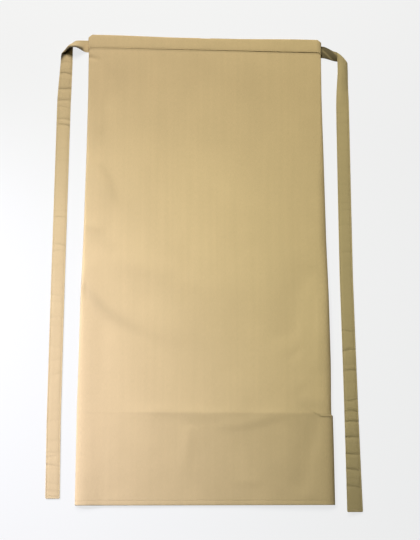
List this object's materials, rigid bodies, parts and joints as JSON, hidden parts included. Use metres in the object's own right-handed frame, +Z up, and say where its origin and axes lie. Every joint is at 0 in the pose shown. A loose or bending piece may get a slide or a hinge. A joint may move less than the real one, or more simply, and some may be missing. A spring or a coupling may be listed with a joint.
{
  "type": "bistro apron",
  "caption": "Long waist apron in plain twill, laid flat with its sides folded under: hemmed panel, folded waistband, and flat ties led down beside it.",
  "frame": {"origin": "centre of the whole lying apron with its ties, on the surface it lies on", "axes": "+Y from the hem to the waistband, +Z up from the surface out of the cloth's right side, +X to the right of the apron as seen from above with the waistband at the top"},
  "size_m": [0.6328, 1.0138, 0.0222],
  "materials": {
    "panel_twill": "matte beige cotton twill",
    "band_twill": "matte beige cotton twill, folded double and topstitched",
    "tie_twill": "matte beige cotton twill, folded double and topstitched, slightly puckered"
  },
  "bodies": {
    "root": {"panel": "panel_twill", "waistband": "band_twill", "tie_left": "tie_twill", "tie_right": "tie_twill"}
  },
  "joints": []
}
